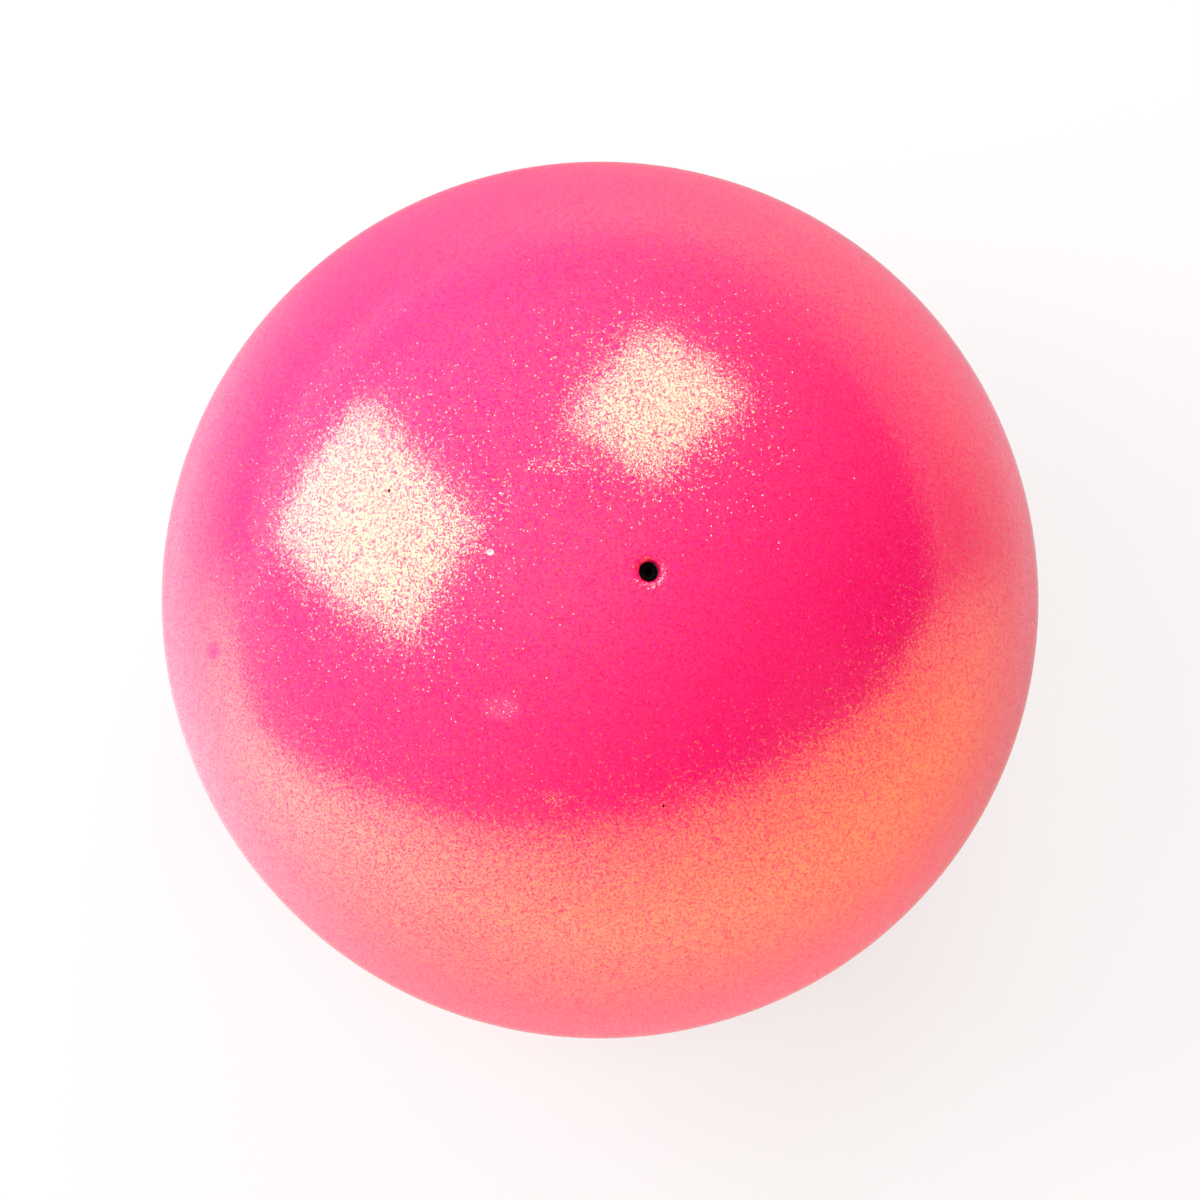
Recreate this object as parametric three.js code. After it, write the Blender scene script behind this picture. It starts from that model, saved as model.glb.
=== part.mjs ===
// A rhythmic gymnastics ball: a hollow rubber wall under a glitter lacquer, with a needle valve.
// Millimetres, +Z up. The origin is the ball's centre and +Z points out through the valve.
// Every piece is round about the valve's axis, so each one is a profile of [radius, height] points.
import * as THREE from "three";

// Wall and lacquer
const BALL_DIAMETER = 185; // over the lacquer
const LACQUER_THICKNESS = 0.25;
const WALL_THICKNESS = 3.2;
const BOND_GAP = 0.05; // bond line between two layers that are stuck together

// Valve port, the round hole that shows on the surface
const PORT_DIAMETER = 4; // clear opening, inside the lacquer
const MOUTH_RADIUS = 1.2; // rounding of the rubber where the surface turns into the port
const LACQUER_EDGE_GAP = 0.3; // from the lacquer's edge in the port to the rubber that steps in below it

// Valve boot, the rubber patch and neck bonded inside the wall
const BOOT_FLANGE_WIDTH = 8; // from the neck to the rim
const BOOT_FLANGE_THICKNESS = 1.6; // where the neck leaves it
const BOOT_RIM_THICKNESS = 0.5;
const BOOT_NECK_WALL = 2.8; // around the core's bore
const BOOT_NECK_FILLET = 2;
const BOOT_TIP_RADIUS = 1.2; // rounding of the neck's inner end
const BOOT_FLOOR = 1.4; // rubber left under the core's nose
const BOOT_OUTLET_DIAMETER = 1.6; // air passage through the floor

// Valve core, the black plug that a pump needle pierces
const CORE_RECESS = 3; // its face lies this far below the ball's surface
const CORE_LENGTH = 12;
const CORE_CLEARANCE = 0.35; // radial, to the boot's bore and to the port
const CORE_EDGE_RADIUS = 0.35; // rounding of its face
const CORE_NOSE_LENGTH = 2.2;
const CORE_NOSE_TAPER = 0.8; // how much narrower the nose's tip is, on the radius
const CORE_SEAT_GAP = 0.3; // under the nose
const RIB_COUNT = 2;
const RIB_CLEARANCE = 0.15; // from a sealing rib to the boot's bore
const RIB_WIDTH = 1;
const FUNNEL_DIAMETER = 1.9; // lead-in for the needle
const FUNNEL_DEPTH = 1.4;
const CANAL_DIAMETER = 0.6; // the needle's way down
const CORE_SEAL_LENGTH = 3.5; // rubber below the canal, only pierced, which closes on itself

// Facets
const SEGMENTS = 48; // around the axis
const QUARTER_STEPS = 12; // along a quarter of the ball's outline
const FLANGE_STEPS = 3; // along the wall over the boot's flange
const FILLET_STEPS = 4;

const PINK_RUBBER = 0xe01a5c;
const PINK_GLITTER = 0xf6267a;
const BOOT_RUBBER = 0xd8b9a8;
const BLACK_RUBBER = 0x141112;

const QUARTER_TURN = Math.PI / 2;
const EQUATOR = 0;
const SOUTH_POLE = -QUARTER_TURN;

// Radii and heights that follow from the sizes above
const ballRadius = BALL_DIAMETER / 2;
const lacquerInside = BOND_GAP; // offsets from the rubber's outer surface
const lacquerOutside = BOND_GAP + LACQUER_THICKNESS;
const wallOuterRadius = ballRadius - lacquerOutside;
const wallInnerRadius = wallOuterRadius - WALL_THICKNESS;
const clearRadius = PORT_DIAMETER / 2; // what the core passes through, in all three layers
const wallPortRadius = clearRadius + lacquerOutside; // behind the lacquer, which turns in and lines the mouth
const bootRadius = wallInnerRadius - BOND_GAP; // the flange lies against the inside of the wall
const neckRadius = clearRadius + BOOT_NECK_WALL;
const flangeRadius = neckRadius + BOOT_FLANGE_WIDTH;
const coreRadius = clearRadius - CORE_CLEARANCE;
const noseRadius = coreRadius - CORE_NOSE_TAPER;
const coreFaceHeight = ballRadius - CORE_RECESS;
const coreTipHeight = coreFaceHeight - CORE_LENGTH;

// The mouth's rounding is an arc that touches the sphere inside and the port's wall
const mouthRadius = Math.min(MOUTH_RADIUS, WALL_THICKNESS / 2);
const mouthCentreRadius = wallPortRadius + mouthRadius;
const mouthCentreHeight = heightAt(mouthCentreRadius, wallOuterRadius - mouthRadius);
const mouthLatitude = Math.atan2(mouthCentreHeight, mouthCentreRadius);

// The same latitudes facet the inside of the wall and the flange against it
const flangeLatitude = Math.acos(flangeRadius / wallInnerRadius);
const portLatitude = Math.acos(clearRadius / wallInnerRadius);

/** Height of a sphere's surface about the origin, at a distance from the axis. */
function heightAt(radius, sphereRadius) {
  return Math.sqrt(sphereRadius ** 2 - radius ** 2);
}

/** Points along an arc in the profile's plane. Angles run from the outward radius towards +Z. */
function arc([centreRadius, centreHeight], radius, from, to, steps) {
  return Array.from({ length: steps + 1 }, (_, i) => {
    const angle = from + ((to - from) * i) / steps;
    const x = centreRadius + radius * Math.cos(angle);
    return [Math.max(x, 0), centreHeight + radius * Math.sin(angle)];
  });
}

/** Points along a meridian of a sphere about the origin, between two latitudes. */
function meridian(radius, from, to, steps) {
  return arc([0, 0], radius, from, to, steps);
}

/** A meridian from the south pole, exactly on the axis, to the equator. */
function southernMeridian(radius) {
  const [, ...rest] = meridian(radius, SOUTH_POLE, EQUATOR, QUARTER_STEPS);
  return [[0, -radius], ...rest];
}

/** The rubber's outer outline, from the south pole to the port's wall, moved outwards by an offset. */
function outerOutline(offset) {
  const radius = wallOuterRadius + offset;
  const mouthCentre = [mouthCentreRadius, mouthCentreHeight];
  return [
    ...southernMeridian(radius),
    ...meridian(radius, EQUATOR, mouthLatitude, QUARTER_STEPS).slice(1),
    ...arc(mouthCentre, mouthRadius + offset, mouthLatitude, Math.PI, FILLET_STEPS).slice(1),
  ];
}

/** The rubber's inner outline, from the south pole to the port's wall. */
function innerOutline() {
  return [
    ...southernMeridian(wallInnerRadius),
    ...meridian(wallInnerRadius, EQUATOR, flangeLatitude, QUARTER_STEPS).slice(1),
    ...meridian(wallInnerRadius, flangeLatitude, portLatitude, FLANGE_STEPS).slice(1),
  ];
}

/** A closed solid turned about +Z. The profile runs up its outer side and down its inner side. */
function turned(name, profile, material) {
  const points = profile.map(([radius, height]) => new THREE.Vector2(radius, height));
  const geometry = new THREE.LatheGeometry(points, SEGMENTS);
  geometry.rotateX(QUARTER_TURN);
  const mesh = new THREE.Mesh(geometry, material);
  mesh.name = name;
  return mesh;
}

function finish(color, roughness) {
  return new THREE.MeshStandardMaterial({ color, roughness, metalness: 0 });
}

/** The glitter lacquer: a skin over the whole ball that turns in at the port's mouth. */
function glitterLacquer() {
  const profile = [...outerOutline(lacquerOutside), ...outerOutline(lacquerInside).reverse()];
  return turned("glitter_lacquer", profile, finish(PINK_GLITTER, 0.25));
}

/** The hollow rubber wall. Its port is as wide as the clear opening below the lacquer's edge. */
function rubberWall() {
  const stepHeight = mouthCentreHeight - LACQUER_EDGE_GAP;
  const profile = [
    ...outerOutline(0),
    [wallPortRadius, stepHeight],
    [clearRadius, stepHeight],
    ...innerOutline().reverse(),
  ];
  return turned("rubber_wall", profile, finish(PINK_RUBBER, 0.6));
}

/** The valve boot: a thin flange against the wall and a neck whose bore holds the core. */
function valveBoot() {
  const outletRadius = BOOT_OUTLET_DIAMETER / 2;
  const seatHeight = coreTipHeight - CORE_SEAT_GAP;
  const floorHeight = seatHeight - BOOT_FLOOR;
  const filletEndRadius = neckRadius + BOOT_NECK_FILLET;
  const flangeUnderside = heightAt(filletEndRadius, bootRadius) - BOOT_FLANGE_THICKNESS;
  const filletCentre = [filletEndRadius, flangeUnderside - BOOT_NECK_FILLET];
  const tipCentre = [neckRadius - BOOT_TIP_RADIUS, floorHeight + BOOT_TIP_RADIUS];
  const rimRadius = bootRadius - BOOT_RIM_THICKNESS;

  const profile = [
    [outletRadius, floorHeight],
    ...arc(tipCentre, BOOT_TIP_RADIUS, -QUARTER_TURN, 0, FILLET_STEPS),
    ...arc(filletCentre, BOOT_NECK_FILLET, Math.PI, QUARTER_TURN, FILLET_STEPS),
    [rimRadius * Math.cos(flangeLatitude), rimRadius * Math.sin(flangeLatitude)],
    ...meridian(bootRadius, flangeLatitude, portLatitude, FLANGE_STEPS).slice(0, -1),
    [clearRadius, heightAt(clearRadius, bootRadius)],
    [clearRadius, seatHeight + CORE_NOSE_LENGTH],
    [noseRadius + CORE_CLEARANCE, seatHeight],
    [outletRadius, seatHeight],
    [outletRadius, floorHeight],
  ];
  return turned("valve_boot", profile, finish(BOOT_RUBBER, 0.7));
}

/** One sealing rib of the core, from its lower foot to its upper foot, at a depth below the face. */
function sealingRib(depth) {
  const ribRadius = clearRadius - RIB_CLEARANCE;
  const half = RIB_WIDTH / 2;
  const crest = half / 2;
  return [
    [coreRadius, -depth - half],
    [ribRadius, -depth - crest],
    [ribRadius, -depth + crest],
    [coreRadius, -depth + half],
  ];
}

/** The valve core, drawn with its face at height 0 and set down into the port. */
function valveCore() {
  const funnelRadius = FUNNEL_DIAMETER / 2;
  const canalRadius = CANAL_DIAMETER / 2;
  const canalEnd = CORE_SEAL_LENGTH - CORE_LENGTH;
  const edgeRadius = Math.min(CORE_EDGE_RADIUS, (coreRadius - funnelRadius) / 2);
  const edgeCentre = [coreRadius - edgeRadius, -edgeRadius];
  const bodyLength = CORE_LENGTH - CORE_NOSE_LENGTH;
  const ribPitch = bodyLength / (RIB_COUNT + 1);
  const ribDepths = Array.from({ length: RIB_COUNT }, (_, i) => bodyLength - (i + 1) * ribPitch);

  const profile = [
    [0, -CORE_LENGTH],
    [noseRadius, -CORE_LENGTH],
    [coreRadius, -bodyLength],
    ...ribDepths.flatMap(sealingRib),
    ...arc(edgeCentre, edgeRadius, 0, QUARTER_TURN, FILLET_STEPS),
    [funnelRadius, 0],
    [canalRadius, -FUNNEL_DEPTH],
    [canalRadius, canalEnd],
    [0, canalEnd],
  ];
  const mesh = turned("valve_core", profile, finish(BLACK_RUBBER, 0.55));
  mesh.position.z = coreFaceHeight;
  return mesh;
}

const valve = new THREE.Group();
valve.add(valveBoot(), valveCore());

const ball = new THREE.Group();
ball.add(glitterLacquer(), rubberWall(), valve);

export default ball;
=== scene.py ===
"""A rhythmic gymnastics ball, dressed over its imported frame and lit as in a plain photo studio.

Blender works in metres. The ball's size fields here are in millimetres and the studio's in
metres. The origin is the ball's centre and +Z points out through the valve. Every piece is
round about the valve's axis.
"""

import logging
import math
from dataclasses import astuple, dataclass
from enum import Enum

import bpy
from mathutils import Matrix, Vector


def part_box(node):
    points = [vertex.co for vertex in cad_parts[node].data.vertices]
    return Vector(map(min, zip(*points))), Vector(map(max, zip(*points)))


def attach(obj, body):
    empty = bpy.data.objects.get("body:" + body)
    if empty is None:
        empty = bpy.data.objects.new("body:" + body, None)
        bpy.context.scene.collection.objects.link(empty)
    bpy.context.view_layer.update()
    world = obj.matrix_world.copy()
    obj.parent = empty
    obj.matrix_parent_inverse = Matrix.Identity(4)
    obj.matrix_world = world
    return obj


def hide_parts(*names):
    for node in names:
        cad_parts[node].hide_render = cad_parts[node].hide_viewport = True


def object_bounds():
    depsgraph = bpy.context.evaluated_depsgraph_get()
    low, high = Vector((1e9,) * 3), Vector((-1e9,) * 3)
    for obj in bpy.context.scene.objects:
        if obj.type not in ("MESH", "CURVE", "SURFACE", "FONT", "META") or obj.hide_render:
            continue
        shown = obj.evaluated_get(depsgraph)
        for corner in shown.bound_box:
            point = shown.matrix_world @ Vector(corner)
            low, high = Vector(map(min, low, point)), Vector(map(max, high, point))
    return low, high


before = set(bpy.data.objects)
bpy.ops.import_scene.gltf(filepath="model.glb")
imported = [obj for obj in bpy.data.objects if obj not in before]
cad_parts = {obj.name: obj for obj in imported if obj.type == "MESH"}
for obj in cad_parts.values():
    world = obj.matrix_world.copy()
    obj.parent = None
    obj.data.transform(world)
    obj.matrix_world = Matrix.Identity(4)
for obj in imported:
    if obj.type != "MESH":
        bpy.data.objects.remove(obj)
CAD_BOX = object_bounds()

LOG = logging.getLogger("gymnastics_ball")
MM = 0.001
QUARTER_TURN = math.pi / 2
SOUTH_POLE = -QUARTER_TURN
ON_AXIS = 1e-6  # mm; a profile's point nearer the axis than this lies on it
SHARP_EDGE = math.radians(35)  # edges that turn more than this stay crisp
PLAIN_MIRROR = 0.5  # the specular level at which a surface mirrors as its IOR says
EVEN_BLEND = 0.5  # the layer weight's setting at which facing runs evenly from 0 to 1
BACKDROP = "#e4e4e5"  # the studio away from the ball, as the camera sees it
MIDDLE_DRAW = (0.5, 0.5, 0.5)  # the middle of a random colour, whose channels run from 0 to 1
MIX_A = 6  # the mix node's first colour
MIX_B = 7  # its second colour
MIXED = 2  # the colour that it gives

Point = tuple[float, float]  # radius and height in a profile, mm
Colour = tuple[float, float, float, float]


class Body(Enum):
    """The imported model's moving bodies."""

    BALL = "ball"
    CORE = "core"


class Slot(Enum):
    """The record's material slots."""

    GLITTER_LACQUER = "glitter_lacquer"
    PINK_RUBBER = "pink_rubber"
    BOOT_RUBBER = "boot_rubber"
    BLACK_RUBBER = "black_rubber"


def linear(hex_colour: str) -> Colour:
    """Turns an sRGB hex colour into linear light.

    Args:
        hex_colour: six hex digits after a #.

    Returns:
        Red, green, blue and an alpha of 1.
    """
    shares = [int(hex_colour[i : i + 2], 16) / 255 for i in (1, 3, 5)]
    red, green, blue = (s / 12.92 if s <= 0.04045 else ((s + 0.055) / 1.055) ** 2.4 for s in shares)
    return red, green, blue, 1.0


def direction(azimuth: float, elevation: float) -> Vector:
    """A unit vector from the ball's centre.

    Args:
        azimuth: degrees from +X towards +Y.
        elevation: degrees above the floor.

    Returns:
        The unit vector.
    """
    a, e = math.radians(azimuth), math.radians(elevation)
    return Vector((math.cos(e) * math.cos(a), math.cos(e) * math.sin(a), math.sin(e)))


def add_node(
    tree: bpy.types.NodeTree,
    kind: str,
    inputs: dict[str | int, object] | None = None,
    **settings: object,
) -> bpy.types.Node:
    """Adds a node with its settings and links.

    Args:
        tree: the node tree that gets it.
        kind: Blender's name for the node's type.
        inputs: a value, or the output to link from, for each input's name or number.
        **settings: the node's own properties.

    Returns:
        The new node.
    """
    node = tree.nodes.new(kind)
    for name, value in settings.items():
        setattr(node, name, value)
    for key, value in (inputs or {}).items():
        if isinstance(value, bpy.types.NodeSocket):
            tree.links.new(value, node.inputs[key])
        else:
            node.inputs[key].default_value = value
    return node


def leaning_normal(
    tree: bpy.types.NodeTree, way: bpy.types.NodeSocket, lean: bpy.types.NodeSocket
) -> bpy.types.NodeSocket:
    """Adds nodes that lean the surface's normal over.

    Args:
        tree: the node tree that gets them.
        way: the way that it leans.
        lean: how far it leans, as a share of the normal.

    Returns:
        The leaning normal.
    """
    upright = add_node(tree, "ShaderNodeNewGeometry").outputs["Normal"]
    tilt = add_node(tree, "ShaderNodeVectorMath", {0: way, "Scale": lean}, operation="SCALE")
    tilted = add_node(
        tree, "ShaderNodeVectorMath", {0: upright, 1: tilt.outputs[0]}, operation="ADD"
    )
    unit = add_node(tree, "ShaderNodeVectorMath", {0: tilted.outputs[0]}, operation="NORMALIZE")
    return unit.outputs[0]


def arc(centre: Point, radius: float, start: float, end: float, steps: int) -> list[Point]:
    """Points along an arc in a profile.

    Args:
        centre: the arc's centre, mm.
        radius: its radius, mm.
        start: its first angle, from the outward radius towards +Z.
        end: its last angle.
        steps: how many chords it has.

    Returns:
        The points, both ends included.
    """
    angles = [start + (end - start) * i / steps for i in range(steps + 1)]
    return [
        (max(centre[0] + radius * math.cos(a), 0.0), centre[1] + radius * math.sin(a)) for a in angles
    ]


def turned(name: str, profile: list[Point], segments: int) -> bpy.types.Object:
    """Turns a profile about the valve's axis into a closed, smooth mesh.

    Args:
        name: the new object's name.
        profile: points up the outer side and down the inner side, mm. It starts and ends on the
            axis, or else its last point joins its first.
        segments: faces round the axis.

    Returns:
        The new object, in the scene.
    """
    vertices: list[tuple[float, float, float]] = []
    rings: list[list[int]] = []
    for radius, height in profile:
        first, count = len(vertices), (segments if radius > ON_AXIS else 1)
        for i in range(count):
            turn = 2 * math.pi * i / segments
            vertices.append(
                (radius * math.cos(turn) * MM, radius * math.sin(turn) * MM, height * MM)
            )
        rings.append([first + i % count for i in range(segments + 1)])
    if profile[0][0] > ON_AXIS:
        rings.append(rings[0])
    faces = [
        tuple(dict.fromkeys((low[i], low[i + 1], high[i + 1], high[i])))
        for low, high in zip(rings, rings[1:])
        for i in range(segments)
    ]
    mesh = bpy.data.meshes.new(name)
    mesh.from_pydata(vertices, [], faces)
    mesh.validate()
    mesh.shade_smooth()
    mesh.set_sharp_from_angle(angle=SHARP_EDGE)
    piece = bpy.data.objects.new(name, mesh)
    bpy.context.scene.collection.objects.link(piece)
    return piece


def put_on(
    piece: bpy.types.Object, material: bpy.types.Material, body: Body, node: str
) -> None:
    """Gives a piece its material and its place in the frame.

    Args:
        piece: the dressed piece.
        material: what it is made of.
        body: the moving body that it rides on.
        node: the CAD node that it stands for.
    """
    piece.data.materials.append(material)
    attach(piece, body.value)
    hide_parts(node)
    LOG.info("%s: %d faces, rides on %s", piece.name, len(piece.data.polygons), body.value)


@dataclass(frozen=True)
class Patch:
    """An egg-shaped place on the ball, in mm of the ball's own frame."""

    centre: tuple[float, float, float]
    half_axes: tuple[float, float, float]
    amount: float
    solid_share: float = 0.3  # of the way out, where it starts to fade

    def mask(self, tree: bpy.types.NodeTree, place: bpy.types.NodeSocket) -> bpy.types.NodeSocket:
        """Adds nodes that hold the patch's amount at its middle and fade to 0 at its edge.

        Args:
            tree: the node tree that gets them.
            place: the point on the ball, m.

        Returns:
            The amount at that point.
        """
        centre = [value * MM for value in self.centre]
        shrink = [1 / (value * MM) for value in self.half_axes]
        away = add_node(tree, "ShaderNodeVectorMath", {0: place, 1: centre}, operation="SUBTRACT")
        shares = add_node(
            tree, "ShaderNodeVectorMath", {0: away.outputs[0], 1: shrink}, operation="MULTIPLY"
        )
        reach = add_node(tree, "ShaderNodeVectorMath", {0: shares.outputs[0]}, operation="LENGTH")
        amount = add_node(
            tree,
            "ShaderNodeMapRange",
            {
                "Value": reach.outputs["Value"],
                "From Min": self.solid_share,
                "From Max": 1.0,
                "To Min": self.amount,
                "To Max": 0.0,
            },
            interpolation_type="SMOOTHSTEP",
        )
        return amount.outputs[0]


@dataclass(frozen=True)
class Blemish:
    """A small mark in the lacquer, which covers the flakes with a colour of its own."""

    patch: Patch
    colour: str


@dataclass(frozen=True)
class GlitterLacquerFinish:
    """Hot pink lacquer, sprayed, full of gold pearl flakes under a clear top coat.

    The flakes are mica with a titania skin. They mirror the lamps as gold sparks, and show the
    pink below where they mirror something dark. Most lie nearly flat and a few stand up, so each
    lamp's image breaks into sparks that thin out round it. At a low angle the clear coat and the
    flakes mirror the pale floor, and the rim turns a milky pink.
    """

    name: str = "sprayed_glitter_lacquer"
    pink: str = "#ff257d"
    deep_pink: str = "#f60657"
    flake_gold: str = "#ffed9e"
    flake_ior: float = 2.33
    flake_roughness: float = 0.12
    flake_pitch: float = 0.23  # mm; a real flake is 0.1 to 0.2, which a picture this size can't show
    lie_flat: float = 0.08  # how far every flake leans, as a share of the surface's normal
    stand_up: float = 0.6  # how far the steepest flakes lean
    stand_up_rarity: float = 6.4  # the higher it is, the fewer flakes stand up
    gap_share: float = 0.32  # of the surface has its flakes deep down
    gap_depth: float = 0.9  # share of the mirroring that is lost there
    # The coat bends light towards the flakes, so at a low angle they mirror less than bare ones.
    rim_start: float = 0.5  # of the way from facing the eye to edge-on
    rim_end: float = 0.88
    rim_mirror: float = 0.04
    mouth_radius: float = 2.4  # mm; round the valve the spray lies rough
    mouth_reach: float = 4.6  # mm
    mouth_lean: float = 0.7
    coat_weight: float = 0.06
    coat_roughness: float = 0.04
    coat_ior: float = 1.5
    scuffs: tuple[Patch, ...] = (  # rubbed places, where the amount is how far the flakes lean
        Patch((-19.0, 20.7, 88.2), (10.0, 2.6, 20.0), 0.32),
        Patch((-27.5, 15.5, 87.0), (1.8, 6.5, 20.0), 0.22),
        Patch((-28.4, -26.4, 83.8), (4.8, 3.4, 20.0), 0.55),
        Patch((-17.5, -44.0, 79.4), (4.0, 2.8, 20.0), 0.3),
    )
    blemishes: tuple[Blemish, ...] = (
        Blemish(Patch((-30.85, 3.9, 87.1), (0.85, 0.7, 1.0), 1.0, 0.7), "#bdbab6"),  # a chip
        Blemish(Patch((-30.95, 4.15, 87.1), (0.3, 0.35, 1.0), 0.8, 0.3), "#7c7a76"),  # its grey middle
        Blemish(Patch((-49.9, 16.8, 76.0), (0.4, 0.4, 0.5), 1.0, 0.8), "#1a0c0a"),  # a grain of dirt
        Blemish(Patch((1.2, -2.8, 92.4), (0.32, 0.26, 1.0), 0.85, 0.6), "#2a2620"),  # one at the mouth
        Blemish(Patch((3.9, -45.6, 80.4), (0.25, 0.35, 0.4), 1.0, 0.8), "#120605"),  # one below it
        Blemish(Patch((-83.2, -12.9, 38.7), (3.0, 2.6, 5.2), 0.8), "#f0186a"),  # a smudge
        Blemish(Patch((-28.4, -26.4, 83.8), (5.2, 3.6, 20.0), 0.2), "#ff6a96"),  # a rub
    )

    def material(self, layers: "Layers") -> bpy.types.Material:
        """Builds the material.

        Args:
            layers: the ball's radii.

        Returns:
            The material.
        """
        material = bpy.data.materials.new(self.name)
        material.use_nodes = True
        tree = material.node_tree
        shader = tree.nodes["Principled BSDF"]
        place = add_node(tree, "ShaderNodeTexCoord").outputs["Object"]
        flakes = add_node(
            tree,
            "ShaderNodeTexVoronoi",
            {"Vector": place, "Scale": 1 / (self.flake_pitch * MM)},
            voronoi_dimensions="3D",
            feature="F1",
        )
        chance = add_node(
            tree,
            "ShaderNodeTexWhiteNoise",
            {"Vector": flakes.outputs["Position"]},
            noise_dimensions="3D",
        )
        draws = add_node(tree, "ShaderNodeSeparateXYZ", {0: chance.outputs["Color"]})
        way = add_node(
            tree,
            "ShaderNodeVectorMath",
            {0: flakes.outputs["Color"], 1: MIDDLE_DRAW},
            operation="SUBTRACT",
        )
        rough = self.mouth_roughness(tree, place, layers.ball_radius * MM)
        lean = self.lean(tree, place, draws.outputs["X"], rough)
        mirror = self.mirror(tree, draws.outputs["Y"])
        pinks = add_node(
            tree,
            "ShaderNodeMix",
            {"Factor": draws.outputs["Z"], MIX_A: linear(self.pink), MIX_B: linear(self.deep_pink)},
            data_type="RGBA",
        )
        colour = pinks.outputs[MIXED]
        for blemish in self.blemishes:
            cover = blemish.patch.mask(tree, place)
            mixed = add_node(
                tree,
                "ShaderNodeMix",
                {"Factor": cover, MIX_A: colour, MIX_B: linear(blemish.colour)},
                data_type="RGBA",
            )
            colour = mixed.outputs[MIXED]
            bare = add_node(tree, "ShaderNodeMath", {0: 1.0, 1: cover}, operation="SUBTRACT")
            mirror = add_node(
                tree, "ShaderNodeMath", {0: mirror, 1: bare.outputs[0]}, operation="MULTIPLY"
            ).outputs[0]
        tree.links.new(colour, shader.inputs["Base Color"])
        tree.links.new(mirror, shader.inputs["Specular IOR Level"])
        tree.links.new(leaning_normal(tree, way.outputs[0], lean), shader.inputs["Normal"])
        tree.links.new(leaning_normal(tree, way.outputs[0], rough), shader.inputs["Coat Normal"])
        shader.inputs["Roughness"].default_value = self.flake_roughness
        shader.inputs["IOR"].default_value = self.flake_ior
        shader.inputs["Specular Tint"].default_value = linear(self.flake_gold)
        shader.inputs["Coat Weight"].default_value = self.coat_weight
        shader.inputs["Coat Roughness"].default_value = self.coat_roughness
        shader.inputs["Coat IOR"].default_value = self.coat_ior
        return material

    def mouth_roughness(
        self, tree: bpy.types.NodeTree, place: bpy.types.NodeSocket, port_height: float
    ) -> bpy.types.NodeSocket:
        """Adds nodes for how much more the flakes lean round the valve.

        Args:
            tree: the node tree that gets them.
            place: the point on the ball, m.
            port_height: the height of the port's middle on the ball's surface, m.

        Returns:
            How far they lean.
        """
        from_port = add_node(
            tree,
            "ShaderNodeVectorMath",
            {0: place, 1: (0.0, 0.0, port_height)},
            operation="DISTANCE",
        )
        rough = add_node(
            tree,
            "ShaderNodeMapRange",
            {
                "Value": from_port.outputs["Value"],
                "From Min": self.mouth_radius * MM,
                "From Max": self.mouth_reach * MM,
                "To Min": self.mouth_lean,
                "To Max": 0.0,
            },
        )
        return rough.outputs[0]

    def lean(
        self,
        tree: bpy.types.NodeTree,
        place: bpy.types.NodeSocket,
        draw: bpy.types.NodeSocket,
        rough: bpy.types.NodeSocket,
    ) -> bpy.types.NodeSocket:
        """Adds nodes for how far each flake leans.

        Args:
            tree: the node tree that gets them.
            place: the point on the ball, m.
            draw: a random number for each flake, 0 to 1.
            rough: how much more the flakes lean round the valve.

        Returns:
            How far the flake leans.
        """
        rare = add_node(
            tree, "ShaderNodeMath", {0: draw, 1: self.stand_up_rarity}, operation="POWER"
        )
        lean = add_node(
            tree,
            "ShaderNodeMath",
            {0: rare.outputs[0], 1: self.stand_up, 2: self.lie_flat},
            operation="MULTIPLY_ADD",
        ).outputs[0]
        for more in (rough, *(scuff.mask(tree, place) for scuff in self.scuffs)):
            lean = add_node(tree, "ShaderNodeMath", {0: lean, 1: more}, operation="ADD").outputs[0]
        return lean

    def mirror(self, tree: bpy.types.NodeTree, draw: bpy.types.NodeSocket) -> bpy.types.NodeSocket:
        """Adds nodes for how much each flake mirrors, less in the gaps and towards the rim.

        Args:
            tree: the node tree that gets them.
            draw: a random number for each flake, 0 to 1.

        Returns:
            The specular level.
        """
        gap = add_node(tree, "ShaderNodeMath", {0: draw, 1: self.gap_share}, operation="LESS_THAN")
        facing_eye = add_node(
            tree,
            "ShaderNodeMath",
            {0: gap.outputs[0], 1: -PLAIN_MIRROR * self.gap_depth, 2: PLAIN_MIRROR},
            operation="MULTIPLY_ADD",
        )
        turned_away = add_node(tree, "ShaderNodeLayerWeight", {"Blend": EVEN_BLEND})
        rim = add_node(
            tree,
            "ShaderNodeMapRange",
            {
                "Value": turned_away.outputs["Facing"],
                "From Min": self.rim_start,
                "From Max": self.rim_end,
                "To Min": 1.0,
                "To Max": self.rim_mirror,
            },
            interpolation_type="SMOOTHSTEP",
        )
        mirror = add_node(
            tree,
            "ShaderNodeMath",
            {0: facing_eye.outputs[0], 1: rim.outputs[0]},
            operation="MULTIPLY",
        )
        return mirror.outputs[0]


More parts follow.
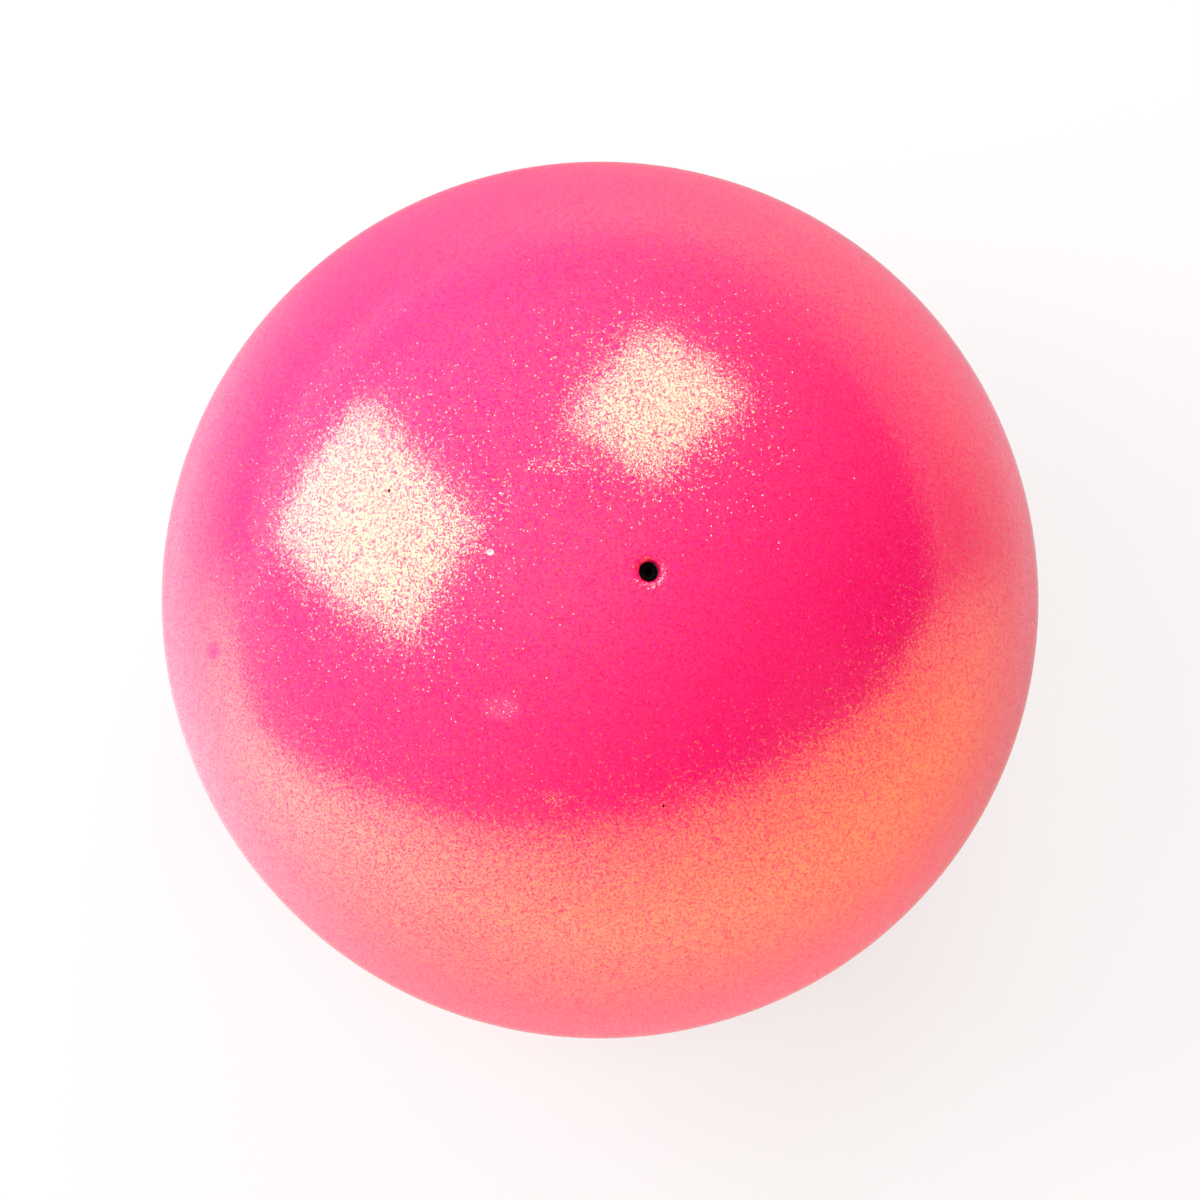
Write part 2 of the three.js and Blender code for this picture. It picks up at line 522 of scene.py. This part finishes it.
@dataclass(frozen=True)
class MouldedRubberFinish:
    """Moulded rubber: matt, with the mould's fine grain and a slight unevenness in its colour."""

    name: str
    colour: str
    shade: str
    roughness: float
    grain: float = 0.25  # mm between bumps
    grain_depth: float = 0.02  # mm
    grain_detail: float = 2.0  # finer layers of grain in the grain
    blotch: float = 1.5  # mm across a patch of colour
    blotch_detail: float = 3.0  # finer layers of patches in a patch
    ior: float = 1.52
    mirror: float = PLAIN_MIRROR

    def material(self) -> bpy.types.Material:
        """Builds the material.

        Returns:
            The material.
        """
        material = bpy.data.materials.new(self.name)
        material.use_nodes = True
        tree = material.node_tree
        shader = tree.nodes["Principled BSDF"]
        place = add_node(tree, "ShaderNodeTexCoord").outputs["Object"]
        blotches = add_node(
            tree,
            "ShaderNodeTexNoise",
            {"Vector": place, "Scale": 1 / (self.blotch * MM), "Detail": self.blotch_detail},
        )
        colours = add_node(
            tree,
            "ShaderNodeMix",
            {
                "Factor": blotches.outputs["Fac"],
                MIX_A: linear(self.colour),
                MIX_B: linear(self.shade),
            },
            data_type="RGBA",
        )
        grain = add_node(
            tree,
            "ShaderNodeTexNoise",
            {"Vector": place, "Scale": 1 / (self.grain * MM), "Detail": self.grain_detail},
        )
        bump = add_node(
            tree,
            "ShaderNodeBump",
            {"Height": grain.outputs["Fac"], "Strength": 1.0, "Distance": self.grain_depth * MM},
        )
        tree.links.new(colours.outputs[MIXED], shader.inputs["Base Color"])
        tree.links.new(bump.outputs["Normal"], shader.inputs["Normal"])
        shader.inputs["Roughness"].default_value = self.roughness
        shader.inputs["IOR"].default_value = self.ior
        shader.inputs["Specular IOR Level"].default_value = self.mirror
        return material


@dataclass(frozen=True)
class Layers:
    """The radii in mm that the ball's layers and its valve share."""

    ball_radius: float
    wall_outer_radius: float
    bond_gap: float = 0.05
    wall_thickness: float = 3.2
    port_radius: float = 2.0
    mouth_rounding: float = 1.2
    lacquer_edge_gap: float = 0.3  # to the rubber that steps in below the lacquer's edge

    @property
    def skin(self) -> float:
        """How far the lacquer stands off the rubber's surface, bond included."""
        return self.ball_radius - self.wall_outer_radius

    @property
    def wall_inner_radius(self) -> float:
        """The radius of the hollow."""
        return self.wall_outer_radius - self.wall_thickness

    @property
    def wall_port_radius(self) -> float:
        """The port's radius in the rubber, under the lacquer that turns in."""
        return self.port_radius + self.skin

    @property
    def mouth_centre(self) -> Point:
        """The centre of the mouth's rounding, in the profile's plane."""
        radius = self.wall_port_radius + self.mouth_rounding
        return radius, math.sqrt((self.wall_outer_radius - self.mouth_rounding) ** 2 - radius**2)

    def outer_outline(self, offset: float, quarter_steps: int, mouth_steps: int) -> list[Point]:
        """The rubber's outer outline from the south pole into the port, moved outwards.

        Args:
            offset: how far it moves out, mm.
            quarter_steps: chords along a quarter of the ball.
            mouth_steps: chords round the mouth.

        Returns:
            The profile's points.
        """
        centre = self.mouth_centre
        mouth = math.atan2(centre[1], centre[0])
        radius = self.wall_outer_radius + offset
        sphere = arc((0.0, 0.0), radius, SOUTH_POLE, mouth, 2 * quarter_steps)
        rounding = arc(centre, self.mouth_rounding + offset, mouth, math.pi, mouth_steps)
        return [(0.0, -radius), *sphere[1:], *rounding[1:]]


@dataclass
class GlitterLacquer:
    """The lacquer: a skin over the whole ball that turns in at the port's mouth."""

    layers: Layers
    finish: GlitterLacquerFinish
    segments: int = 192
    quarter_steps: int = 64
    inner_quarter_steps: int = 40
    mouth_steps: int = 20

    def build(self) -> bpy.types.Object:
        """Turns the skin's two sides into one mesh.

        Returns:
            The piece, in the scene.
        """
        outside = self.layers.outer_outline(self.layers.skin, self.quarter_steps, self.mouth_steps)
        inside = self.layers.outer_outline(
            self.layers.bond_gap, self.inner_quarter_steps, self.mouth_steps
        )
        return turned("glitter_lacquer_skin", outside + inside[::-1], self.segments)

    def dress(self, piece: bpy.types.Object) -> None:
        """Gives the skin its finish and its place in the frame."""
        material = self.finish.material(self.layers)
        put_on(piece, material, Body.BALL, "glitter_lacquer")


@dataclass
class RubberWall:
    """The hollow rubber wall, with the valve's port through it."""

    layers: Layers
    finish: MouldedRubberFinish
    segments: int = 128
    quarter_steps: int = 40
    mouth_steps: int = 12

    def build(self) -> bpy.types.Object:
        """Turns the wall's outside, port and hollow into one mesh.

        Returns:
            The piece, in the scene.
        """
        hollow = self.layers.wall_inner_radius
        clear = self.layers.port_radius
        step_height = self.layers.mouth_centre[1] - self.layers.lacquer_edge_gap
        outside = self.layers.outer_outline(0.0, self.quarter_steps, self.mouth_steps)
        step = [(self.layers.wall_port_radius, step_height), (clear, step_height)]
        inside = arc((0.0, 0.0), hollow, SOUTH_POLE, math.acos(clear / hollow), 2 * self.quarter_steps)
        profile = outside + step + inside[:0:-1] + [(0.0, -hollow)]
        return turned("rubber_wall_shell", profile, self.segments)

    def dress(self, piece: bpy.types.Object) -> None:
        """Gives the wall its finish and its place in the frame."""
        put_on(piece, self.finish.material(), Body.BALL, "rubber_wall")


@dataclass
class ValveBoot:
    """The valve boot: a thin flange against the wall and a neck whose bore holds the core. mm."""

    layers: Layers
    finish: MouldedRubberFinish
    floor_height: float
    neck_wall: float = 2.8
    neck_fillet: float = 2.0
    tip_rounding: float = 1.2
    floor: float = 1.4
    flange_width: float = 8.0
    flange_thickness: float = 1.6
    rim_thickness: float = 0.5
    outlet_radius: float = 0.8
    nose_length: float = 2.2
    nose_seat_radius: float = 1.2
    segments: int = 96
    flange_steps: int = 12
    fillet_steps: int = 10

    def build(self) -> bpy.types.Object:
        """Turns the boot's outside, flange and bore into one mesh.

        Returns:
            The piece, in the scene.
        """
        bore = self.layers.port_radius
        top = self.layers.wall_inner_radius - self.layers.bond_gap
        neck = bore + self.neck_wall
        flange = math.acos((neck + self.flange_width) / self.layers.wall_inner_radius)
        port = math.acos(bore / self.layers.wall_inner_radius)
        seat = self.floor_height + self.floor
        fillet_radius = neck + self.neck_fillet
        underside = math.sqrt(top**2 - fillet_radius**2) - self.flange_thickness
        rim = top - self.rim_thickness
        profile = [
            (self.outlet_radius, self.floor_height),
            *arc(
                (neck - self.tip_rounding, self.floor_height + self.tip_rounding),
                self.tip_rounding,
                -QUARTER_TURN,
                0.0,
                self.fillet_steps,
            ),
            *arc(
                (fillet_radius, underside - self.neck_fillet),
                self.neck_fillet,
                math.pi,
                QUARTER_TURN,
                self.fillet_steps,
            ),
            (rim * math.cos(flange), rim * math.sin(flange)),
            *arc((0.0, 0.0), top, flange, port, self.flange_steps)[:-1],
            (bore, math.sqrt(top**2 - bore**2)),
            (bore, seat + self.nose_length),
            (self.nose_seat_radius, seat),
            (self.outlet_radius, seat),
        ]
        return turned("valve_boot_moulding", profile, self.segments)

    def dress(self, piece: bpy.types.Object) -> None:
        """Gives the boot its finish and its place in the frame."""
        put_on(piece, self.finish.material(), Body.BALL, "valve_boot")


@dataclass
class ValveCore:
    """The valve core, the ribbed black plug that a pump needle pierces. mm."""

    finish: MouldedRubberFinish
    face_height: float
    tip_height: float
    radius: float = 1.65
    nose_radius: float = 0.85
    nose_length: float = 2.2
    edge_rounding: float = 0.35
    rib_radius: float = 1.85
    rib_width: float = 1.0
    rib_count: int = 2
    funnel_radius: float = 0.95
    funnel_depth: float = 1.4
    canal_radius: float = 0.3
    seal_length: float = 3.5
    segments: int = 96
    rib_steps: int = 10
    edge_steps: int = 8

    def build(self) -> bpy.types.Object:
        """Turns the core's nose, ribbed body, face and canal into one mesh.

        Returns:
            The piece, in the scene.
        """
        shoulder = self.tip_height + self.nose_length
        pitch = (self.face_height - shoulder) / (self.rib_count + 1)
        edge = self.face_height - self.edge_rounding
        canal_end = self.tip_height + self.seal_length
        profile: list[Point] = [
            (0.0, self.tip_height),
            (self.nose_radius, self.tip_height),
            (self.radius, shoulder),
        ]
        for i in range(self.rib_count):
            profile += self.rib(shoulder + (i + 1) * pitch)
        profile += arc(
            (self.radius - self.edge_rounding, edge),
            self.edge_rounding,
            0.0,
            QUARTER_TURN,
            self.edge_steps,
        )
        profile += [
            (self.funnel_radius, self.face_height),
            (self.canal_radius, self.face_height - self.funnel_depth),
            (self.canal_radius, canal_end),
            (0.0, canal_end),
        ]
        return turned("valve_core_plug", profile, self.segments)

    def rib(self, height: float) -> list[Point]:
        """One rounded sealing rib.

        Args:
            height: the height of its middle, mm.

        Returns:
            The profile's points, from its lower foot to its upper foot.
        """
        rise = self.rib_radius - self.radius
        shares = [2 * i / self.rib_steps - 1 for i in range(self.rib_steps + 1)]
        return [
            (self.radius + rise * math.cos(share * QUARTER_TURN), height + share * self.rib_width / 2)
            for share in shares
        ]

    def dress(self, piece: bpy.types.Object) -> None:
        """Gives the core its finish and its place in the frame."""
        put_on(piece, self.finish.material(), Body.CORE, "valve_core")


@dataclass(frozen=True)
class Softbox:
    """A rectangular lamp that faces the ball. Metres and degrees."""

    name: str
    azimuth: float
    elevation: float
    roll: float
    distance: float
    width: float
    height: float
    radiance: float  # 1 is as bright as white paper in the picture
    tone: str = "#ffffff"
    mirrored: bool = True  # shows in glossy surfaces

    def build(self) -> None:
        """Adds the lamp."""
        away = direction(self.azimuth, self.elevation)
        across = Vector((0.0, 0.0, 1.0)).cross(away).normalized()
        axes = Matrix((across, away.cross(across), away)).transposed()
        lamp = bpy.data.lights.new(self.name, "AREA")
        lamp.shape = "RECTANGLE"
        lamp.size, lamp.size_y = self.width, self.height
        lamp.energy = self.radiance * math.pi * self.width * self.height
        lamp.color = linear(self.tone)[:3]
        holder = bpy.data.objects.new(self.name, lamp)
        turn = axes @ Matrix.Rotation(math.radians(self.roll), 3, "Z")
        holder.matrix_world = Matrix.Translation(away * self.distance) @ turn.to_4x4()
        holder.visible_glossy = self.mirrored
        bpy.context.scene.collection.objects.link(holder)


@dataclass(frozen=True)
class BoardStation:
    """One upright line of the boards, seen from the ball. Degrees and metres.

    The line runs from a foot on the floor through a knee to a top, and fades out above it.
    Inside the foot it fades to the boards' inner edge.
    """

    azimuth: float
    top_elevation: float
    fade: float  # degrees from the top to the brow, where it ends
    warmth: float  # 0 is a white board and 1 a warm one
    foot_distance: float
    foot_radiance: float
    knee_radiance: float
    top_radiance: float
    brow_radiance: float


@dataclass(frozen=True)
class FillBoard:
    """White and grey boards bent round the ball, which only the gloss sees. Metres."""

    inner_distance: float = 0.04
    inner_radiance: float = 0.36
    foot_warmth: float = 0.5  # share of a line's warmth that its foot has
    knee_distance: float = 0.32
    top_distance: float = 0.6
    highest_knee: float = 0.9  # share of the way up
    tone: str = "#ffefb0"
    lift: float = 0.002  # off the floor where the board lies flat
    steps: int = 6  # between two stations
    stations: tuple[BoardStation, ...] = (
        BoardStation(-215.0, -12.0, 1.0, 0.5, 0.13, 1.05, 0.45, 0.5, 0.5),
        BoardStation(-190.0, -12.0, 2.0, 0.6, 0.145, 1.5, 0.5, 0.36, 0.35),
        BoardStation(-176.0, -14.0, 3.0, 0.5, 0.128, 1.5, 2.3, 1.9, 0.4),
        BoardStation(-160.0, -14.5, 4.0, 0.4, 0.112, 1.6, 3.1, 2.7, 0.4),
        BoardStation(-150.0, -8.0, 4.0, 0.45, 0.114, 1.45, 3.4, 2.9, 0.4),
        BoardStation(-137.0, 7.5, 5.0, 0.5, 0.116, 1.2, 3.5, 2.9, 0.4),
        BoardStation(-111.0, 21.5, 6.0, 0.9, 0.17, 1.2, 3.0, 2.35, 0.2),
        BoardStation(-91.0, 27.0, 8.0, 1.08, 0.2, 1.2, 2.95, 2.05, 0.15),
        BoardStation(-67.0, 29.5, 8.0, 1.15, 0.2, 1.1, 2.8, 1.9, 0.1),
        BoardStation(-40.0, 25.5, 6.0, 1.3, 0.2, 1.0, 2.6, 1.9, 0.1),
        BoardStation(-21.0, 16.5, 5.0, 1.3, 0.2, 0.95, 2.1, 1.75, 0.1),
        BoardStation(-4.0, 6.5, 5.0, 0.8, 0.2, 0.9, 1.4, 1.3, 0.2),
        BoardStation(8.0, -4.0, 3.0, 0.4, 0.18, 0.88, 0.6, 0.32, 0.22),
        BoardStation(16.0, -4.0, 3.0, 0.3, 0.16, 0.85, 0.62, 0.4, 0.3),
        BoardStation(25.0, -6.0, 3.0, 0.25, 0.14, 0.8, 0.75, 0.57, 0.4),
        BoardStation(32.0, -9.5, 2.0, 0.2, 0.12, 0.7, 0.8, 0.65, 0.5),
        BoardStation(60.0, -10.5, 1.0, 0.4, 0.11, 0.6, 0.9, 1.0, 1.0),
        BoardStation(95.0, -10.5, 1.0, 0.4, 0.11, 0.45, 0.9, 1.0, 1.0),
        BoardStation(125.0, -12.0, 1.0, 0.5, 0.11, 0.6, 0.6, 0.6, 0.6),
        BoardStation(145.0, -12.0, 1.0, 0.5, 0.13, 1.05, 0.45, 0.5, 0.5),
    )

    def line(self, station: BoardStation, floor_height: float) -> list[tuple[Vector, Colour]]:
        """The points of one upright line, from the inner edge up, with their glow.

        Args:
            station: where it stands, how high it reaches and how bright it is.
            floor_height: the floor's height, m.

        Returns:
            The points and the board's colour there, times its radiance.
        """
        ground = floor_height + self.lift
        slope = math.tan(math.radians(station.top_elevation))
        reach = min(self.top_distance, ground / slope) if slope < 0 else self.top_distance
        rise = max(reach * slope, ground) - ground
        run = reach - station.foot_distance
        knee = min((self.knee_distance - station.foot_distance) / run, self.highest_knee)
        brow = reach * math.tan(math.radians(station.top_elevation + station.fade))
        places = (
            (self.inner_distance, ground, self.inner_radiance, 0.0),
            (station.foot_distance, ground, station.foot_radiance, self.foot_warmth),
            (station.foot_distance + run * knee, ground + rise * knee, station.knee_radiance, 1.0),
            (reach, ground + rise, station.top_radiance, 1.0),
            (reach, brow, station.brow_radiance, 1.0),
        )
        tone = linear(self.tone)[:3]
        line = []
        for distance, height, radiance, warm_share in places:
            point = direction(station.azimuth, 0.0) * distance
            point.z = height
            warmth = station.warmth * warm_share
            red, green, blue = (radiance * (1 + (channel - 1) * warmth) for channel in tone)
            line.append((point, (red, green, blue, 1.0)))
        return line

    def build(self, floor_height: float) -> None:
        """Adds the boards, standing on the floor.

        Args:
            floor_height: the floor's height, m.
        """
        lines: list[list[tuple[Vector, Colour]]] = []
        for first, second in zip(self.stations, self.stations[1:]):
            for i in range(self.steps):
                share = i / self.steps
                values = (a + (b - a) * share for a, b in zip(astuple(first), astuple(second)))
                lines.append(self.line(BoardStation(*values), floor_height))
        lines.append(self.line(self.stations[-1], floor_height))
        points = [point for line in lines for point in line]
        rows = len(lines[0])
        faces = [
            (i, i + 1, i + rows + 1, i + rows)
            for start in range(0, len(points) - rows, rows)
            for i in range(start, start + rows - 1)
        ]
        mesh = bpy.data.meshes.new("fill_board")
        mesh.from_pydata([point for point, _ in points], [], faces)
        mesh.attributes.new("glow", "FLOAT_COLOR", "POINT").data.foreach_set(
            "color", [channel for _, colour in points for channel in colour]
        )
        mesh.materials.append(self.material())
        board = bpy.data.objects.new("fill_board", mesh)
        bpy.context.scene.collection.objects.link(board)
        board.visible_camera = False
        board.visible_shadow = False
        board.visible_diffuse = False

    def material(self) -> bpy.types.Material:
        """Builds the material, which glows as each point of the mesh says.

        Returns:
            The material.
        """
        material = bpy.data.materials.new("glowing_white_board")
        material.use_nodes = True
        tree = material.node_tree
        tree.nodes.remove(tree.nodes["Principled BSDF"])
        colour = add_node(tree, "ShaderNodeAttribute", attribute_name="glow")
        glow = add_node(tree, "ShaderNodeEmission", {"Color": colour.outputs["Color"]})
        tree.links.new(glow.outputs[0], tree.nodes["Material Output"].inputs["Surface"])
        return material


@dataclass(frozen=True)
class PaperFloor:
    """A pale floor that shows white near the ball and runs out to pale grey; the white that the
    lacquer mirrors is a painted pool of light.

    Edges are in metres from the ball's foot, and the pool's from its own centre.
    """

    size: float = 60.0
    paper: str = "#dcdbda"
    white: str = "#ffffff"  # how the paper shows in the picture and in the lacquer
    surround: str = "#d6d6d6"  # the floor round the lit pool, as the lacquer sees it
    pool_centre: tuple[float, float] = (0.25, -0.1)
    pool_edge: tuple[float, float] = (0.38, 0.54)  # where the lit pool runs out
    picture_edge: tuple[float, float] = (0.2, 0.7)  # where the white runs out in the picture
    shadow_lift: float = 0.7  # share of the paper that shows as plain white, which softens shadows
    shadow_edge: tuple[float, float] = (0.16, 0.44)  # where the shadows fade out
    contact_lift: float = 0.2  # share of that lift that is left where the ball touches the paper
    contact_edge: tuple[float, float] = (0.03, 0.11)  # where the whole lift comes back

    def build(self, height: float) -> None:
        """Adds the floor.

        Args:
            height: where the ball touches it, m.
        """
        half = self.size / 2
        mesh = bpy.data.meshes.new("paper_floor")
        corners = [
            (-half, -half, height),
            (half, -half, height),
            (half, half, height),
            (-half, half, height),
        ]
        mesh.from_pydata(corners, [], [(0, 1, 2, 3)])
        floor = bpy.data.objects.new("paper_floor", mesh)
        bpy.context.scene.collection.objects.link(floor)
        mesh.materials.append(self.material(height))

    def material(self, height: float) -> bpy.types.Material:
        """Builds the paper's material.

        Args:
            height: the floor's height, m.

        Returns:
            The material.
        """
        material = bpy.data.materials.new("studio_paper")
        material.use_nodes = True
        tree = material.node_tree
        tree.nodes.remove(tree.nodes["Principled BSDF"])
        place = add_node(tree, "ShaderNodeTexCoord").outputs["Object"]
        path = add_node(tree, "ShaderNodeLightPath").outputs
        camera = path["Is Camera Ray"]
        foot = (0.0, 0.0, height)
        pool = self.fade(tree, place, (*self.pool_centre, height), self.pool_edge, 0.0, 1.0)
        picture = self.fade(tree, place, foot, self.picture_edge, 0.0, 1.0)
        colour, in_gloss, in_picture = (
            add_node(
                tree,
                "ShaderNodeMix",
                {"Factor": edge, MIX_A: linear(near), MIX_B: linear(far)},
                data_type="RGBA",
            ).outputs[MIXED]
            for edge, near, far in (
                (pool, self.paper, self.surround),
                (pool, self.white, self.surround),
                (picture, self.white, BACKDROP),
            )
        )
        shown = add_node(
            tree,
            "ShaderNodeMix",
            {"Factor": camera, MIX_A: in_gloss, MIX_B: in_picture},
            data_type="RGBA",
        ).outputs[MIXED]
        away = self.fade(tree, place, foot, self.shadow_edge, self.shadow_lift, 1.0)
        lifted = add_node(tree, "ShaderNodeMath", {0: camera, 1: away}, operation="MULTIPLY")
        gloss = add_node(
            tree,
            "ShaderNodeMath",
            {0: path["Is Glossy Ray"], 1: path["Is Transmission Ray"]},
            operation="MAXIMUM",
        )
        both = add_node(
            tree,
            "ShaderNodeMath",
            {0: gloss.outputs[0], 1: self.shadow_lift, 2: lifted.outputs[0]},
            operation="MULTIPLY_ADD",
        )
        contact = self.fade(tree, place, foot, self.contact_edge, self.contact_lift, 1.0)
        lift = add_node(
            tree, "ShaderNodeMath", {0: both.outputs[0], 1: contact}, operation="MULTIPLY"
        )
        paper = add_node(tree, "ShaderNodeBsdfDiffuse", {"Color": colour})
        white = add_node(tree, "ShaderNodeEmission", {"Color": shown, "Strength": 1.0})
        mixed = add_node(
            tree, "ShaderNodeMixShader", {0: lift.outputs[0], 1: paper.outputs[0], 2: white.outputs[0]}
        )
        tree.links.new(mixed.outputs[0], tree.nodes["Material Output"].inputs["Surface"])
        return material

    @staticmethod
    def fade(
        tree: bpy.types.NodeTree,
        place: bpy.types.NodeSocket,
        centre: tuple[float, float, float],
        edge: tuple[float, float],
        inside: float,
        outside: float,
    ) -> bpy.types.NodeSocket:
        """Adds nodes for a value that changes with the distance from a point.

        Args:
            tree: the node tree that gets them.
            place: the point on the floor, m.
            centre: the point that the distance runs from, m.
            edge: the distances where the change starts and ends, m.
            inside: the value up to the first distance.
            outside: the value from the second one on.

        Returns:
            The value.
        """
        reach = add_node(tree, "ShaderNodeVectorMath", {0: place, 1: centre}, operation="DISTANCE")
        value = add_node(
            tree,
            "ShaderNodeMapRange",
            {
                "Value": reach.outputs["Value"],
                "From Min": edge[0],
                "From Max": edge[1],
                "To Min": inside,
                "To Max": outside,
            },
            interpolation_type="SMOOTHSTEP",
        )
        return value.outputs[0]


@dataclass(frozen=True)
class Camera:
    """The picture's camera, almost over the valve.

    The valve shows right of the ball's middle and above it.
    """

    image_width: float = 1200.0  # px
    ball_radius_px: float = 438.5
    valve_right_px: float = 50.0
    valve_up_px: float = 29.0
    distance: float = 1.2  # m
    sensor: float = 36.0  # mm

    def build(self, ball_radius: float) -> None:
        """Adds the camera and makes it the scene's.

        Args:
            ball_radius: the ball's radius, m.
        """
        half_ball = math.asin(ball_radius / self.distance)
        px_per_slope = self.ball_radius_px / math.tan(half_ball)
        offset = math.hypot(self.valve_right_px, self.valve_up_px) / px_per_slope
        lean = math.asin(offset * (self.distance - ball_radius) / ball_radius)
        away = math.atan2(self.valve_up_px, self.valve_right_px) + math.pi
        axis = Vector(
            (math.sin(lean) * math.cos(away), math.sin(lean) * math.sin(away), math.cos(lean))
        )
        data = bpy.data.cameras.new("picture_camera")
        data.sensor_width = self.sensor
        data.lens = self.sensor / self.image_width * px_per_slope
        camera = bpy.data.objects.new("picture_camera", data)
        camera.rotation_mode = "QUATERNION"
        camera.location = axis * self.distance
        camera.rotation_quaternion = Vector((0.0, 0.0, 1.0)).rotation_difference(axis)
        bpy.context.scene.collection.objects.link(camera)
        bpy.context.scene.camera = camera


@dataclass(frozen=True)
class Room:
    """The dim studio round the set, lighter on the lamps' side. The camera sees a pale backdrop."""

    level: float = 0.3  # 1 is as bright as white paper in the picture
    lighter_towards: tuple[float, float, float] = (-0.34, 0.26, 0.06)  # what that way adds
    darkest: float = 0.02

    def build(self) -> None:
        """Sets the world's light."""
        world = bpy.data.worlds.new("dim_studio")
        world.use_nodes = True
        tree = world.node_tree
        way = add_node(tree, "ShaderNodeTexCoord").outputs["Generated"]
        side = add_node(
            tree, "ShaderNodeVectorMath", {0: way, 1: self.lighter_towards}, operation="DOT_PRODUCT"
        )
        level = add_node(
            tree, "ShaderNodeMath", {0: side.outputs["Value"], 1: self.level}, operation="ADD"
        )
        held = add_node(
            tree, "ShaderNodeMath", {0: level.outputs[0], 1: self.darkest}, operation="MAXIMUM"
        )
        camera = add_node(tree, "ShaderNodeLightPath").outputs["Is Camera Ray"]
        shown = add_node(
            tree,
            "ShaderNodeMix",
            {"Factor": camera, MIX_A: held.outputs[0], MIX_B: linear(BACKDROP)},
            data_type="RGBA",
        )
        tree.links.new(shown.outputs[MIXED], tree.nodes["Background"].inputs["Color"])
        bpy.context.scene.world = world


@dataclass(frozen=True)
class Studio:
    """Two softboxes, four fill lamps, the boards, a paper floor, the dim room and the camera."""

    lamps: tuple[Softbox, ...] = (
        Softbox("left_softbox", 163.8, 23.7, -24.0, 0.7, 0.424, 0.645, 7.8, "#f9f9ff"),
        Softbox("top_softbox", 79.2, 43.9, -121.3, 0.7, 0.415, 0.314, 7.3, "#f9f9ff"),
        Softbox("front_fill", 165.0, 72.0, 0.0, 1.1, 0.7, 0.7, 2.6, "#f3f3ff", mirrored=False),
        Softbox("right_fill", -30.0, 30.0, 0.0, 0.9, 0.5, 0.5, 3.7, "#ffd8b8", mirrored=False),
        Softbox("low_fill", -120.0, 20.0, 0.0, 1.0, 0.6, 0.6, 1.4, mirrored=False),
        Softbox("foot_fill", -82.0, -5.0, 0.0, 0.45, 0.5, 0.08, 6.0, mirrored=False),
    )
    board: FillBoard = FillBoard()
    floor: PaperFloor = PaperFloor()
    camera: Camera = Camera()
    room: Room = Room()

    def build(self, ball_radius: float, floor_height: float) -> None:
        """Sets the studio up.

        Args:
            ball_radius: the ball's radius, m.
            floor_height: where the ball touches the floor, m.
        """
        for lamp in self.lamps:
            lamp.build()
        self.board.build(floor_height)
        self.floor.build(floor_height)
        self.room.build()
        self.camera.build(ball_radius)
        bpy.context.scene.view_settings.view_transform = "Standard"


def main() -> None:
    """Builds the ball from its skin inwards, then the studio."""
    logging.basicConfig(level=logging.INFO, format="%(name)s: %(message)s")
    ball_radius = -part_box("glitter_lacquer")[0].z / MM
    layers = Layers(ball_radius, -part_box("rubber_wall")[0].z / MM)
    core_low, core_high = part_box("valve_core")
    parts = (
        GlitterLacquer(layers, GlitterLacquerFinish()),
        RubberWall(layers, MouldedRubberFinish("moulded_pink_rubber", "#c30f45", "#a50a38", 0.55)),
        ValveBoot(
            layers,
            MouldedRubberFinish("moulded_tan_rubber", "#d8b9a8", "#cba996", 0.7),
            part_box("valve_boot")[0].z / MM,
        ),
        ValveCore(
            # black butyl, painted darker than the rubber itself: the extra darkness is painted shade
            # deep in the port
            MouldedRubberFinish("moulded_black_butyl_with_painted_shade", "#0c090a", "#070506", 0.7, mirror=0.1),
            core_high.z / MM,
            core_low.z / MM,
        ),
    )
    for part in parts:
        part.dress(part.build())
    Studio().build(ball_radius * MM, CAD_BOX[0].z)


if __name__ == "__main__":
    main()
